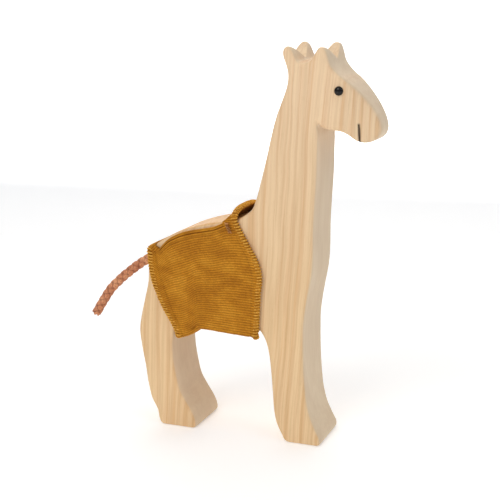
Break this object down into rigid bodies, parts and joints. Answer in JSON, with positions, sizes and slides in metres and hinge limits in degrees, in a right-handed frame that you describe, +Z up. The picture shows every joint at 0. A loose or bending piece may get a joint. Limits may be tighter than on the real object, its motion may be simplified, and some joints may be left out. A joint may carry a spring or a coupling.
{
  "type": "wooden giraffe figure",
  "caption": "Standing giraffe sawn from one thick wooden board, with domed eyes, a free cord tail and a corduroy cover looped round its trunk",
  "frame": {"origin": "on the floor under the middle of the wooden body's length and thickness, not counting the tail", "axes": "+X is the way the giraffe faces, +Y is its left side across the board, +Z is up"},
  "size_m": [0.1547, 0.0342, 0.1903],
  "materials": {
    "bare_maple": "bare sanded pale wood with fine upright grain",
    "black_bead": "glossy black",
    "leather_cord": "matt braided reddish brown",
    "corduroy": "fine ribbed cotton, ochre",
    "overlock_thread": "close overlocked ochre thread",
    "bartack_thread": "dense rust thread"
  },
  "bodies": {
    "root": {"body": "bare_maple", "left_eye": "black_bead", "right_eye": "black_bead", "tail_cord": "leather_cord", "cover": "corduroy", "front_edge_thread": "overlock_thread", "rear_edge_thread": "overlock_thread", "slot_bartacks": "bartack_thread"}
  },
  "joints": []
}
